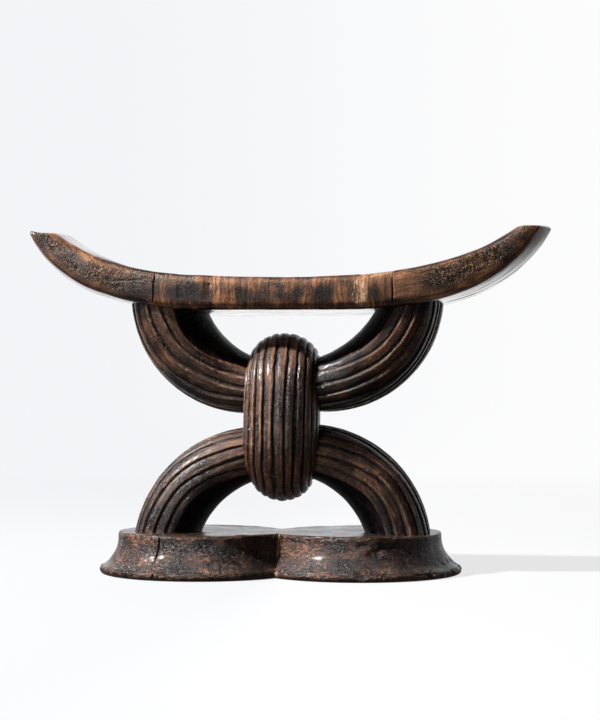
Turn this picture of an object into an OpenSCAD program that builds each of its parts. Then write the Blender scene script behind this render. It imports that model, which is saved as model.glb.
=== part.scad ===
// Carved wooden headrest: a curved rest for the neck, carried by two reeded arches
// that are bound together by a reeded band, on a plinth of two round lobes.
// Millimetres. +Z is up, X runs along the rest, and the front faces -Y.
// The origin is on the floor, under the middle of the rest.

/* [Rest] */
// Length of the rest between its corners
rest_length = 185; // [150:1:225]
// Depth of the rest at its middle, front to back
rest_depth = 46; // [38:1:60]
// Depth of the rest at its ends
rest_end_depth = 30; // [24:1:60]
// Thickness of the rest at its middle
rest_thickness = 11.5; // [9:0.1:16]
// Height of the rest's underside above the floor, at its middle
rest_underside = 94.3; // [75:0.1:115]
// How far the underside sweeps up towards the ends
rest_sweep = 25; // [14:0.5:30]
// How far the last stretch of the underside kicks up beyond that sweep
rest_kick = 6; // [0:0.5:10]
// How far the saddle on top would rise if it ran on to the ends
saddle_rise = 25; // [16:0.1:30]
// Height of the level cut across the ends, above the underside's middle
end_height = 30.3; // [24:0.1:36]
// Slope of that cut, rising towards the back, in degrees
end_slope = 4; // [0:0.5:8]
// How far the underside bows out at the ends, between the corners
end_bow = 4; // [0:0.5:8]
// Bevel along the lower edges of the rest, at its middle
rest_bevel = 2; // [1:0.1:3]
// Rounding along the upper edges of the rest
rest_edge = 1; // [0.5:0.1:2]
// Turn of the rest and the upper arms against the plinth, seen from above, in degrees
twist = -5.5; // [-10:0.5:10]
// How far the band and the lower arms stand to the left of the rest's middle
knot_shift = 1.5; // [-4:0.1:4]

/* [Arms] */
// Half span of the upper arms, outside, where they meet the rest
upper_reach = 56.3; // [48:0.1:68]
// Width of an upper arm where it meets the rest
upper_seat_width = 26; // [20:0.5:32]
// How far the seat of an upper arm stays inside the rest's front and back
seat_inset = 0.2; // [0:0.1:3]
// Distance from the plinth's end to the foot of a lower arm
foot_inset = 5.7; // [3:0.1:10]
// Width of a lower arm where it stands on the plinth
lower_seat_width = 24; // [18:0.5:30]
// Depth of a lower arm where it stands on the plinth
lower_seat_depth = 32; // [24:0.5:40]
// Width of every arm where it enters the band
arm_width = 18.2; // [14:0.2:22]
// Depth of every arm where it enters the band
arm_depth = 30; // [22:0.5:36]
// Gap between the upper and lower arms where they enter the band
arm_gap = 4.8; // [2:0.2:8]
// Distance from the middle to the lowest point of an upper arm's outer edge
upper_crown = 14.2; // [8:0.2:18]
// Distance from the middle to the highest point of a lower arm's outer edge
lower_crown = 8.5; // [6:0.1:14]
// Reeds round an arm; its inner side is left smooth
arm_reeds = 15; // [9:2:21]
// Depth of the grooves between the reeds of an arm
groove_depth = 0.9; // [0.3:0.1:1.4]
// Share of half the arm's girth that is reeded, counted from the outer edge
reeded_share = 0.62; // [0.4:0.02:0.9]

/* [Band] */
// Gap between the band and the rest
gap_over_band = 7.3; // [3:0.1:14]
// Gap between the band and the plinth
gap_under_band = 10.5; // [3:0.1:16]
// Width of the band
band_width = 27.2; // [20:0.2:32]
// Depth of the band, front to back, as a share of its height
band_depth_share = 0.8; // [0.7:0.01:0.95]
// How far the band's cheeks curve back from its front
cheek_depth = 10.5; // [6:0.1:12]
// Lean of the band to the right, in degrees
band_lean = 1.5; // [-4:0.5:4]
// Reeds across the band, from one cheek to the other
band_reeds = 11; // [7:2:15]
// Radius of one reed of the band
band_reed_radius = 2.1; // [1.6:0.05:2.8]
// How far the place where the arches come closest lies above mid height
knot_rise = 0.5; // [0:0.1:4]

/* [Plinth] */
// Height of the plinth
plinth_height = 15.3; // [12:0.1:20]
// Radius of each lobe at the top
lobe_radius = 30.4; // [26:0.1:36]
// Distance from the middle to the centre of each lobe
lobe_offset = 28.3; // [22:0.1:32]
// How far the foot of a lobe flares out beyond its top
foot_flare = 7.2; // [3:0.1:10]
// Height up to which the flare is hollowed out
cove_height = 13.4; // [9:0.1:14]
// Radius of the rounded lip round the foot
lip_radius = 1.6; // [1:0.1:3]
// Radius of the plinth's rounded top edge
top_edge_radius = 1.2; // [0.5:0.1:2]
// How far the plinth stands to the left of the band
plinth_shift = 1.3; // [-4:0.1:4]

/* [Hidden] */

wood_light = "#5a3a28";
wood_dark = "#33211a";

// How far the blanks of the arms run on into the rest and the plinth that cut them to length.
run_on = 4;
// Where the arm blanks begin, inside the band, as a distance from the middle.
arm_start = 6;
// A size larger than the whole object, for the blocks that cut and bound it.
big = 400;

arch_middle = (plinth_height + rest_underside) / 2 + knot_rise;
band_top = rest_underside - gap_over_band;
band_bottom = plinth_height + gap_under_band;
band_height = band_top - band_bottom;
band_depth = band_height * band_depth_share;
lower_reach = lobe_offset + lobe_radius - foot_inset;

function mix(a, b, share) = a + (b - a) * share;
function sum(list, i = 0) = i < len(list) ? list[i] + sum(list, i + 1) : 0;
function middle(ring) = [for (k = [0 : 2]) sum([for (p = ring) p[k]]) / len(ring)];

// Closed skin over a row of rings that all have the same number of points.
module skin(rings, turned) {
    count = len(rings[0]);
    last = len(rings) - 1;
    hub = count * (last + 1);
    sides = [for (i = [0 : last - 1], j = [0 : count - 1])
        let (a = i * count + j, b = i * count + (j + 1) % count, c = a + count, d = b + count)
        each [[a, c, b], [b, c, d]]];
    caps = [for (j = [0 : count - 1])
        let (k = (j + 1) % count)
        each [[j, k, hub], [last * count + k, last * count + j, hub + 1]]];
    faces = concat(sides, caps);
    polyhedron(
        points = concat([for (ring = rings) each ring], [middle(rings[0]), middle(rings[last])]),
        faces = turned ? [for (f = faces) [f[0], f[2], f[1]]] : faces
    );
}

// ---- Rest --------------------------------------------------------------------------

rest_steps = 22;
// Share of the saddle's rise that is spread evenly; the remainder comes near the ends.
saddle_spread = 0.26;
// How far the upright faces of the rest belly out.
face_belly = 0.4;
// Share of the bevel that has run out at the ends.
bevel_fade = 0.7;

// Place along the rest as a share of its half length, from 0 in the middle to 1 at an end.
function along(x) = abs(x) / (rest_length / 2);
function underside(x) = rest_underside + rest_sweep * pow(along(x), 4) + rest_kick * pow(along(x), 12);
function saddle(x) = rest_underside + rest_thickness
    + saddle_rise * mix(pow(along(x), 4), pow(along(x), 2), saddle_spread);
function half_depth(x) = mix(rest_depth, rest_end_depth, pow(along(x), 3)) / 2;

// Steepness of the underside, for bowing it out square to itself.
function underside_slope(x) = sign(x) * (4 * rest_sweep * pow(along(x), 3)
    + 12 * rest_kick * pow(along(x), 11)) / (rest_length / 2);

// A point of the underside, bowed out by its share of the bow at this station.
function bowed(x, y) =
    let (steep = atan(underside_slope(x)),
         bow = end_bow * pow(along(x), 3) * (1 - pow(y / half_depth(x), 2)))
    [x + bow * sin(steep), y, underside(x) - bow * cos(steep)];

// One section of the rest: the underside from back to front, then up and back over the saddle.
// The bevel runs out towards the ends.
function rest_ring(x) =
    let (h = half_depth(x),
         low = underside(x),
         high = saddle(x),
         bevel = rest_bevel * (1 - bevel_fade * pow(along(x), 3)),
         flat = h - bevel,
         top = h - rest_edge)
    concat(
        [for (i = [3 : -1 : -3]) bowed(x, flat * i / 3)],
        [[x, -h, low + bevel], [x, -h - face_belly, (low + high) / 2], [x, -h, high - rest_edge]],
        [for (i = [-2 : 2]) [x, top * i / 2, high]],
        [[x, h, high - rest_edge], [x, h + face_belly, (low + high) / 2], [x, h, low + bevel]]
    );

module rest_solid() {
    difference() {
        // The rings stand closer together towards the ends, where the rest bends most.
        skin(
            [for (i = [-rest_steps : rest_steps]) rest_ring(rest_length / 2 * sin(90 * i / rest_steps))],
            true
        );
        // The level cut across both ends.
        translate([0, 0, rest_underside + end_height]) rotate([end_slope, 0, 0])
            translate([-big / 2, -big / 2, 0]) cube([big, big, big]);
    }
}

// The rest and the upper arms share one frame, turned against the plinth.
module upper_frame() {
    rotate([0, 0, twist]) children();
}

// The band and the lower arms share another.
module knot_frame() {
    translate([-knot_shift, 0, 0]) children();
}

module head_rest() {
    color(wood_light) upper_frame() rest_solid();
}

// ---- Arms --------------------------------------------------------------------------

arm_rings = 12;
reed_steps = 3;
smooth_steps = 8;

// Circle that is level at the crown and passes through the seat: [centre x, centre z, radius].
function arch_circle(crown, seat) =
    let (rise = seat[1] - crown[1],
         run = seat[0] - crown[0],
         radius = (run * run + rise * rise) / (2 * abs(rise)))
    [crown[0], crown[1] + sign(rise) * radius, radius];

// Angles at which that circle passes arm_start and the given height.
function start_angle(circle, up) = (up ? -1 : 1) * acos((arm_start - circle[0]) / circle[2]);
function end_angle(circle, height) = asin((height - circle[1]) / circle[2]);

// Direction in an arm's section, from its outer edge at 0 degrees round to its inner edge at 180:
// squarish outside and oval inside. The first number is outwards, the second is depth.
function section(angle) =
    let (power = abs(angle) < 90 ? 0.68 : 1)
    [sign(cos(angle)) * pow(abs(cos(angle)), power), sign(sin(angle)) * pow(abs(sin(angle)), power)];

// Distance walked round half of a section, for each angle passed on the way.
girth_step = 5;
function girth(w, d, angle = 0, run = 0, last = [1, 0]) =
    angle > 180 ? [] :
    let (p = section(angle), next = run + norm([(p[0] - last[0]) * w, (p[1] - last[1]) * d]))
    concat([[next, angle]], girth(w, d, angle + girth_step, next, p));

girth_table = girth(arm_width / 2, arm_depth / 2);
half_girth = girth_table[len(girth_table) - 1][0];
reeded_girth = half_girth * reeded_share;
function walked_angle(distance) = sign(distance) * lookup(abs(distance), girth_table);

// Angles round an arm, each with 1 for the bottom of a groove and 0 elsewhere: first the reeds,
// then the smooth side.
outline = concat(
    [for (i = [0 : arm_reeds * reed_steps])
        [walked_angle(mix(-reeded_girth, reeded_girth, i / (arm_reeds * reed_steps))),
         i % reed_steps == 0 ? 1 : 0]],
    [for (i = [1 : smooth_steps - 1])
        let (distance = mix(reeded_girth, 2 * half_girth - reeded_girth, i / smooth_steps))
        [walked_angle(distance > half_girth ? distance - 2 * half_girth : distance), 0]]
);

// One point of an arm: t runs from the band to the seat, spot is an entry of the outline.
function arm_point(outer, inner, angles, depths, t, spot) =
    let (p = section(spot[0]),
         depth = mix(depths[0], depths[1], t) / 2,
         shrink = 1 - spot[1] * groove_depth / norm([p[0] * arm_width / 2, p[1] * depth]),
         share = (1 - p[0] * shrink) / 2,
         angle = mix(mix(angles[0], angles[2], share), mix(angles[1], angles[3], share), t),
         radius = mix(outer[2], inner[2], share))
    [mix(outer[0], inner[0], share) + radius * cos(angle),
     p[1] * shrink * depth,
     mix(outer[1], inner[1], share) + radius * sin(angle)];

// Blank of a right-hand arm, from inside the band to beyond its seat.
module arm_blank(up, reach, seat_width, seat_depth, crown, seat_height) {
    side = up ? 1 : -1;
    outer_crown = arch_middle + side * arm_gap / 2;
    outer = arch_circle([crown, outer_crown], [reach, seat_height]);
    inner = arch_circle([0, outer_crown + side * arm_width], [reach - seat_width, seat_height]);
    far = seat_height + side * run_on;
    angles = [start_angle(outer, up), end_angle(outer, far), start_angle(inner, up), end_angle(inner, far)];
    skin(
        [for (i = [0 : arm_rings])
            [for (spot = outline)
                arm_point(outer, inner, angles, [arm_depth, seat_depth], i / arm_rings, spot)]],
        !up
    );
}

module upper_arm(turn) {
    difference() {
        upper_frame() rotate([0, 0, turn]) arm_blank(true, upper_reach, upper_seat_width,
            2 * (half_depth(upper_reach) - seat_inset), upper_crown,
            underside(upper_reach - upper_seat_width / 2));
        upper_frame() rest_solid();
        band_solid();
    }
}

module lower_arm(turn) {
    difference() {
        knot_frame() rotate([0, 0, turn]) arm_blank(false, lower_reach, lower_seat_width, lower_seat_depth,
            lower_crown, plinth_height);
        translate([-big / 2, -big / 2, plinth_height - big]) cube([big, big, big]);
        band_solid();
    }
}

module upper_right_arm() {
    color(wood_dark) upper_arm(0);
}

module upper_left_arm() {
    color(wood_dark) upper_arm(180);
}

module lower_right_arm() {
    color(wood_dark) lower_arm(0);
}

module lower_left_arm() {
    color(wood_dark) lower_arm(180);
}

// ---- Band --------------------------------------------------------------------------

half_width = band_width / 2;
// Distance from the band's middle line to where its cheeks begin to curve, front and back.
band_core = band_depth / 2 - cheek_depth;
// Half the length of the band's straight stretch.
band_straight = (band_height - band_depth) / 2;
// Middles of the reeds, fanned from cheek to cheek.
reed_middles = [for (i = [0 : band_reeds - 1])
    let (angle = mix(-90, 90, (i + 0.5) / band_reeds))
    [band_core + (cheek_depth - band_reed_radius) * cos(angle),
     (half_width - band_reed_radius) * sin(angle)]];

// Half of the band's section: the core up to the middles of the reeds, and the reeds.
module band_half_section() {
    intersection() {
        translate([0, -half_width]) square([band_depth, band_width]);
        union() {
            polygon(concat(
                [[0, -half_width], [band_core, -half_width]],
                reed_middles,
                [[band_core, half_width], [0, half_width]]
            ));
            for (p = reed_middles) translate(p) circle(r = band_reed_radius, $fn = 32);
        }
    }
}

module band_turn() {
    rotate([0, 90, 0]) rotate_extrude(angle = 180, $fn = 96) band_half_section();
}

// The band in its place.
module band_solid() {
    knot_frame() translate([0, 0, (band_top + band_bottom) / 2]) rotate([0, band_lean, 0]) union() {
        translate([0, 0, band_straight]) rotate([90, 0, 0]) band_turn();
        translate([0, 0, -band_straight]) rotate([-90, 0, 0]) band_turn();
        for (turn = [0, 180]) rotate([0, 0, turn]) translate([0, 0, -band_straight])
            linear_extrude(height = 2 * band_straight) rotate(90) band_half_section();
    }
}

module binding_band() {
    color(wood_dark) band_solid();
}

// ---- Plinth ------------------------------------------------------------------------

function arc(centre, radius, from, to, steps) =
    [for (i = [0 : steps]) centre + radius * [cos(mix(from, to, i / steps)), sin(mix(from, to, i / steps))]];

module lobe_profile() {
    // The cove is the circle that stands upright at the lobe's wall and touches the lip's circle.
    lip = [lobe_radius + foot_flare - lip_radius, lip_radius];
    run = lobe_radius - lip[0];
    fall = cove_height - lip_radius;
    cove_radius = (run * run + fall * fall - lip_radius * lip_radius) / (2 * (lip_radius - run));
    cove = [lobe_radius + cove_radius, cove_height];
    touch = atan2(cove[1] - lip[1], cove[0] - lip[0]);
    polygon(concat(
        [[0, 0]],
        arc(lip, lip_radius, -90, touch, 8),
        arc(cove, cove_radius, touch + 180, 180, 8),
        arc([lobe_radius - top_edge_radius, plinth_height - top_edge_radius], top_edge_radius, 0, 90, 4),
        [[0, plinth_height]]
    ));
}

module plinth_half() {
    intersection() {
        translate([lobe_offset, 0, 0]) rotate_extrude($fn = 96) lobe_profile();
        translate([0, -big / 2, -1]) cube([big, big, big]);
    }
}

module plinth() {
    color(wood_light) knot_frame() translate([-plinth_shift, 0, 0])
        for (turn = [0, 180]) rotate([0, 0, turn]) plinth_half();
}

head_rest();
upper_left_arm();
upper_right_arm();
binding_band();
lower_left_arm();
lower_right_arm();
plinth();
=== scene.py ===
"""Carved wooden headrest: a curved rest on two reeded arches tied by a band, on a two-lobed plinth.

Lengths in the classes are millimetres, as the carver would measure them, and turn to metres when a
piece is finished. +X runs along the rest, the front faces -Y and +Z is up.
"""

import logging
import math
from dataclasses import dataclass
from enum import Enum

import bpy
import numpy as np
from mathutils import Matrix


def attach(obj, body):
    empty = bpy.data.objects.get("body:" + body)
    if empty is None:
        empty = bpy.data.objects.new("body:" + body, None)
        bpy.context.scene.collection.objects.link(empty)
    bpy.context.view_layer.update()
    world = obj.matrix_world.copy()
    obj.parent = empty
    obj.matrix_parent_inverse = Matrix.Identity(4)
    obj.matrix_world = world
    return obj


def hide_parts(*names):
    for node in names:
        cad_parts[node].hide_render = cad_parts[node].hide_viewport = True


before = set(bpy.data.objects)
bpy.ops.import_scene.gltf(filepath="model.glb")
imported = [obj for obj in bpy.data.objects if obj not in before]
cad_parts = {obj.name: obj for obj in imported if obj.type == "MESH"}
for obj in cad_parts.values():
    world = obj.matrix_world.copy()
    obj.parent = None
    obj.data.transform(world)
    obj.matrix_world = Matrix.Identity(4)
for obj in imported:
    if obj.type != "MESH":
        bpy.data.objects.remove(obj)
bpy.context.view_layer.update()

LOG = logging.getLogger("headrest")
MM = 0.001
TWIST = -5.5  # degrees that the rest and the upper arch are turned against the plinth
KNOT_SHIFT = 1.5  # how far the band and the lower arch stand to the left of the rest
PLINTH_SHIFT = 1.3  # how far the plinth stands to the left of the band
PLINTH_HEIGHT = 15.3
REST_UNDERSIDE = 94.3

Field = np.ndarray
Triple = tuple[float, float, float]


# ---- Small tools of shaping ------------------------------------------------------------


def ease(low: float, high: float, x: Field) -> Field:
    """Smooth step from 0 at low to 1 at high.

    Args:
        low: where the step begins.
        high: where it ends; may be below low for a falling step.
        x: the places to read it at.

    Returns:
        Values from 0 to 1.
    """
    t = np.clip((x - low) / (high - low), 0.0, 1.0)
    return t * t * (3.0 - 2.0 * t)


def spot(x: Field, middle: float | Field, width: float | Field) -> Field:
    """Bell curve of the given width round a middle."""
    return np.exp(-(((x - middle) / width) ** 2))


def most(*marks: Field) -> Field:
    """The strongest of several marks at each place."""
    return np.maximum.reduce(marks)


def pick(piece: bpy.types.Object) -> None:
    """Selects one piece alone and makes it active."""
    bpy.ops.object.select_all(action="DESELECT")
    bpy.context.view_layer.objects.active = piece
    piece.select_set(True)


def _hashed(ix: Field, iy: Field, iz: Field, seed: int) -> Field:
    """Fixed random value from -1 to 1 for each whole-number place."""
    h = (
        ix.astype(np.int64) * 374761393
        + iy.astype(np.int64) * 668265263
        + iz.astype(np.int64) * 974634777
        + seed * 1274126177
    ) & 0xFFFFFFFF
    h = ((h ^ (h >> 13)) * 1274126177) & 0xFFFFFFFF
    h = ((h ^ (h >> 16)) * 2246822519) & 0xFFFFFFFF
    return ((h ^ (h >> 15)) & 0xFFFFFF) / float(0x7FFFFF) - 1.0


def drift(places: Field, size: float | Triple, seed: int, octaves: int = 1) -> Field:
    """Smooth random unevenness, as a hand tool leaves.

    Args:
        places: N by 3 places in millimetres.
        size: the width of one swell, the same every way or one for each axis.
        seed: picks one pattern.
        octaves: how many finer layers are added, each half as wide and half as strong.

    Returns:
        N values, roughly from -1 to 1.
    """
    total = np.zeros(len(places))
    strength, reach = 1.0, 0.0
    scaled = places / np.asarray(size, float)
    for layer in range(octaves):
        p = scaled * (2.0**layer) + 17.3 * layer
        i = np.floor(p)
        f = p - i
        u = f * f * (3.0 - 2.0 * f)
        value = np.zeros(len(p))
        for dx in (0, 1):
            for dy in (0, 1):
                for dz in (0, 1):
                    share = (
                        (u[:, 0] if dx else 1 - u[:, 0])
                        * (u[:, 1] if dy else 1 - u[:, 1])
                        * (u[:, 2] if dz else 1 - u[:, 2])
                    )
                    value += share * _hashed(i[:, 0] + dx, i[:, 1] + dy, i[:, 2] + dz, seed + layer)
        total += strength * value
        reach += strength
        strength *= 0.5
    return total / reach * 1.3


def spread(count: int, crowded: list[Triple]) -> Field:
    """Places from -1 to 1 that crowd together where fine cuts will be made.

    Args:
        count: how many places.
        crowded: for each crowd its middle, its half width and how many times closer it stands.

    Returns:
        Rising places that begin at -1 and end at 1.
    """
    x = np.linspace(-1.0, 1.0, 8001)
    density = np.ones_like(x)
    for middle, width, times in crowded:
        density += (times - 1.0) * spot(x, middle, width)
    run = np.concatenate([[0.0], np.cumsum((density[1:] + density[:-1]) / 2)])
    return np.interp(np.linspace(0.0, run[-1], count), run, x)


class Axis(Enum):
    """Which way a blank log lies."""

    LENGTH = "x"
    HEIGHT = "z"


@dataclass
class Log:
    """A closed log with rings cut round its side and insets in its ends, ready for carving."""

    name: str
    spokes: int
    rings: int
    insets: int
    axis: Axis = Axis.LENGTH
    inset_reach: float = 0.94

    def turn(self) -> bpy.types.Object:
        """Makes the log of radius 1, from -1 to 1 along its axis."""
        bpy.ops.object.select_all(action="DESELECT")
        tilt = (0.0, math.pi / 2, 0.0) if self.axis is Axis.LENGTH else (0.0, 0.0, 0.0)
        bpy.ops.mesh.primitive_cylinder_add(
            vertices=self.spokes, radius=1.0, depth=2.0, rotation=tilt)
        log = bpy.context.object
        log.name = self.name
        log.data.name = self.name
        bpy.ops.object.transform_apply(location=False, rotation=True, scale=False)
        k = 0 if self.axis is Axis.LENGTH else 2
        side = [e.index for e in log.data.edges if self._runs_along(log.data, e, k)]
        bpy.ops.object.mode_set(mode="EDIT")
        bpy.ops.mesh.select_mode(type="EDGE")
        bpy.ops.mesh.select_all(action="DESELECT")
        bpy.ops.object.mode_set(mode="OBJECT")
        for index in side:
            log.data.edges[index].select = True
        bpy.ops.object.mode_set(mode="EDIT")
        bpy.ops.mesh.subdivide_edgering(number_cuts=self.rings - 2, interpolation="LINEAR")
        for end in (-1.0, 1.0):
            self._inset_end(log, k, end)
        bpy.ops.object.mode_set(mode="OBJECT")
        return log

    @staticmethod
    def _runs_along(mesh: bpy.types.Mesh, edge: bpy.types.MeshEdge, k: int) -> bool:
        """Whether an edge runs from one end of the log to the other."""
        a, b = (mesh.vertices[v].co[k] for v in edge.vertices)
        return abs(a - b) > 1.0

    def _inset_end(self, log: bpy.types.Object, k: int, end: float) -> None:
        """Insets one end face again and again, and closes the last inset on a point."""
        bpy.ops.mesh.select_mode(type="FACE")
        bpy.ops.mesh.select_all(action="DESELECT")
        bpy.ops.object.mode_set(mode="OBJECT")
        for face in log.data.polygons:
            face.select = len(face.vertices) > 4 and abs(face.center[k] - end) < 0.01
        bpy.ops.object.mode_set(mode="EDIT")
        for _ in range(self.insets):
            bpy.ops.mesh.inset(thickness=self.inset_reach / self.insets)
        bpy.ops.mesh.poke()


@dataclass
class Carving:
    """A log opened for carving: where each vertex stands on it, and the shape that it gets."""

    log: bpy.types.Object
    shape: Log
    run: Field
    turn: Field
    reach: Field

    @classmethod
    def begin(cls, shape: Log) -> "Carving":
        """Turns the log and reads where its vertices stand.

        Args:
            shape: the log to make.

        Returns:
            The carving, with run from 0 to rings - 1 along the side, turn from 0 to spokes - 1
            round it, and reach from 1 at the side to 0 at the middle of an end.
        """
        log = shape.turn()
        co = np.empty(len(log.data.vertices) * 3)
        log.data.vertices.foreach_get("co", co)
        co = co.reshape(-1, 3)
        if shape.axis is Axis.LENGTH:
            along, u, v = co[:, 0], -co[:, 2], -co[:, 1]
        else:
            along, u, v = co[:, 2], co[:, 0], co[:, 1]
        run = np.rint((along + 1.0) / 2.0 * (shape.rings - 1))
        angle = np.arctan2(v, u) / (2 * math.pi) * shape.spokes
        turn = np.mod(np.rint(angle - (shape.spokes % 4) / 4), shape.spokes)
        reach = np.clip(np.hypot(u, v), 0.0, 1.0)
        reach[reach > 0.995] = 1.0
        return cls(log, shape, run, turn, reach)

    def place(self, co: Field) -> None:
        """Moves every vertex to its place, given in millimetres."""
        self.log.data.vertices.foreach_set("co", (co * MM).ravel())
        self.log.data.update()

    def places(self) -> Field:
        """Where the vertices are, in millimetres."""
        co = np.empty(len(self.log.data.vertices) * 3)
        self.log.data.vertices.foreach_get("co", co)
        return co.reshape(-1, 3) / MM

    def normals(self) -> Field:
        """The direction out of the wood at each vertex."""
        normal = np.empty(len(self.log.data.vertices) * 3, dtype=np.float32)
        self.log.data.vertex_normals.foreach_get("vector", normal)
        return normal.reshape(-1, 3).astype(float)

    def face_outward(self) -> None:
        """Turns every face of the closed shape outward."""
        pick(self.log)
        bpy.ops.object.mode_set(mode="EDIT")
        bpy.ops.mesh.select_all(action="SELECT")
        bpy.ops.mesh.normals_make_consistent(inside=False)
        bpy.ops.object.mode_set(mode="OBJECT")

    def pare(self, depth: Field) -> None:
        """Cuts the surface back by a depth in millimetres at each vertex."""
        self.place(self.places() - self.normals() * depth[:, None])

    def mark(self, name: str, value: Field) -> None:
        """Writes a value for each vertex that the finish reads."""
        layer = self.log.data.attributes.new(name, "FLOAT", "POINT")
        layer.data.foreach_set("value", np.clip(value, 0.0, 1.0).astype(np.float32))

    def mark_flow(self, along: Field, round_it: Field, inward: Field) -> None:
        """Writes the place in the flow of the carving, in millimetres, for the grain."""
        layer = self.log.data.attributes.new("flow", "FLOAT_VECTOR", "POINT")
        flow = np.stack([along, round_it, inward], 1).astype(np.float32)
        layer.data.foreach_set("vector", flow.ravel())

    def done(self, slot: str, node: str, finish: bpy.types.Material) -> bpy.types.Object:
        """Smooths, dresses and hands over the finished piece.

        Args:
            slot: the record's material slot; not used.
            node: the CAD node that the piece stands for.
            finish: its material.

        Returns:
            The finished object.
        """
        pick(self.log)
        bpy.ops.object.shade_smooth()
        self.log.data.materials.clear()
        self.log.data.materials.append(finish)
        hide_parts(node)
        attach(self.log, "root")
        LOG.info("%s: %d vertices", self.log.name, len(self.log.data.vertices))
        return self.log


def turned(co: Field, degrees: float) -> Field:
    """Turns places about the upright axis."""
    a = math.radians(degrees)
    x = co[:, 0] * math.cos(a) - co[:, 1] * math.sin(a)
    y = co[:, 0] * math.sin(a) + co[:, 1] * math.cos(a)
    return np.stack([x, y, co[:, 2]], 1)


# ---- Finishes --------------------------------------------------------------------------


class Graph:
    """A short hand for laying out shader nodes in a material or a node group."""

    def __init__(self, tree: bpy.types.NodeTree) -> None:
        """Keeps the tree that nodes are added to."""
        self.tree = tree

    @classmethod
    def blank(cls, owner: bpy.types.Material | bpy.types.World) -> "Graph":
        """Empties a material or a world and starts its graph."""
        owner.use_nodes = True
        owner.node_tree.nodes.clear()
        return cls(owner.node_tree)

    def parts(self, vector: bpy.types.NodeSocket) -> bpy.types.bpy_prop_collection:
        """The X, Y and Z of a vector."""
        node = self.add("ShaderNodeSeparateXYZ")
        self.join(vector, node.inputs[0])
        return node.outputs

    def vector(self, operation: str, a: object, b: object = None) -> bpy.types.Node:
        """One step of arithmetic on vectors."""
        node = self.add("ShaderNodeVectorMath", operation=operation)
        self.join(a, node.inputs[0])
        if b is not None:
            self.join(b, node.inputs[1])
        return node

    def add(self, kind: str, **settings: object) -> bpy.types.Node:
        """Adds a node and sets its properties."""
        node = self.tree.nodes.new(kind)
        for key, value in settings.items():
            setattr(node, key, value)
        return node

    def join(self, source: object, target: bpy.types.NodeSocket) -> None:
        """Links a socket, or sets a plain value on the target socket."""
        if isinstance(source, bpy.types.NodeSocket):
            self.tree.links.new(source, target)
        elif target.type == "RGBA" and len(source) == 3:
            target.default_value = (*source, 1.0)
        else:
            target.default_value = source

    def maths(self, operation: str, a: object, b: object = 0.0) -> bpy.types.NodeSocket:
        """One step of arithmetic on values or sockets."""
        node = self.add("ShaderNodeMath", operation=operation)
        for socket, value in zip(node.inputs, (a, b)):
            self.join(value, socket)
        return node.outputs[0]

    def times(self, a: object, b: object) -> bpy.types.NodeSocket:
        """The product of two values."""
        return self.maths("MULTIPLY", a, b)

    def plus(self, a: object, b: object) -> bpy.types.NodeSocket:
        """The sum of two values."""
        return self.maths("ADD", a, b)

    def stretch(self, vector: object, scale: object) -> bpy.types.NodeSocket:
        """A vector multiplied by a scale for each axis."""
        return self.vector("MULTIPLY", vector, scale).outputs[0]

    def shifted(self, vector: object, by: object) -> bpy.types.NodeSocket:
        """The sum of two vectors."""
        return self.vector("ADD", vector, by).outputs[0]

    def noise(self, vector: object, scale: float, detail: float = 3.0, rough: float = 0.55,
              twist: float = 0.0) -> bpy.types.Node:
        """A cloudy noise read at a vector."""
        node = self.add("ShaderNodeTexNoise")
        self.join(vector, node.inputs["Vector"])
        node.inputs["Scale"].default_value = scale
        node.inputs["Detail"].default_value = detail
        node.inputs["Roughness"].default_value = rough
        node.inputs["Distortion"].default_value = twist
        return node

    def between(self, value: object, low: float, high: float, out_low: float = 0.0,
                out_high: float = 1.0) -> bpy.types.NodeSocket:
        """A value eased from one range to another and held inside it."""
        node = self.add("ShaderNodeMapRange", interpolation_type="SMOOTHSTEP")
        for socket, v in zip(node.inputs, (value, low, high, out_low, out_high)):
            self.join(v, socket)
        return node.outputs[0]

    def mixed(self, share: object, a: object, b: object, way: str = "MIX") -> bpy.types.NodeSocket:
        """Two colours mixed by a share."""
        node = self.add("ShaderNodeMix", data_type="RGBA", blend_type=way, clamp_result=False)
        self.join(share, node.inputs[0])
        self.join(a, node.inputs[6])
        self.join(b, node.inputs[7])
        return node.outputs[2]

    def ramp(self, value: object, stops: list[tuple[float, Triple]]) -> bpy.types.NodeSocket:
        """A colour read from a row of stops."""
        node = self.add("ShaderNodeValToRGB")
        row = node.color_ramp.elements
        row.remove(row[1])
        for number, (place, colour) in enumerate(stops):
            stop = row[0] if number == 0 else row.new(place)
            stop.position = place
            stop.color = (*colour, 1.0)
        self.join(value, node.inputs[0])
        return node.outputs[0]

    def mark(self, name: str) -> bpy.types.NodeSocket:
        """A value that the carving wrote on the piece."""
        return self.add("ShaderNodeAttribute", attribute_name=name).outputs["Fac"]


def new_group(name: str, takes: list[tuple[str, str]], gives: list[tuple[str, str]]) -> tuple[
    bpy.types.NodeTree, Graph, bpy.types.Node, bpy.types.Node
]:
    """Starts a shader node group with named inputs and outputs.

    Args:
        name: the group's name.
        takes: name and kind of each input.
        gives: name and kind of each output.

    Returns:
        The group, its graph, its input node and its output node.
    """
    group = bpy.data.node_groups.new(name, "ShaderNodeTree")
    for label, kind in takes:
        group.interface.new_socket(name=label, in_out="INPUT", socket_type=f"NodeSocket{kind}")
    for label, kind in gives:
        group.interface.new_socket(name=label, in_out="OUTPUT", socket_type=f"NodeSocket{kind}")
    graph = Graph(group)
    return group, graph, graph.add("NodeGroupInput"), graph.add("NodeGroupOutput")


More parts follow.
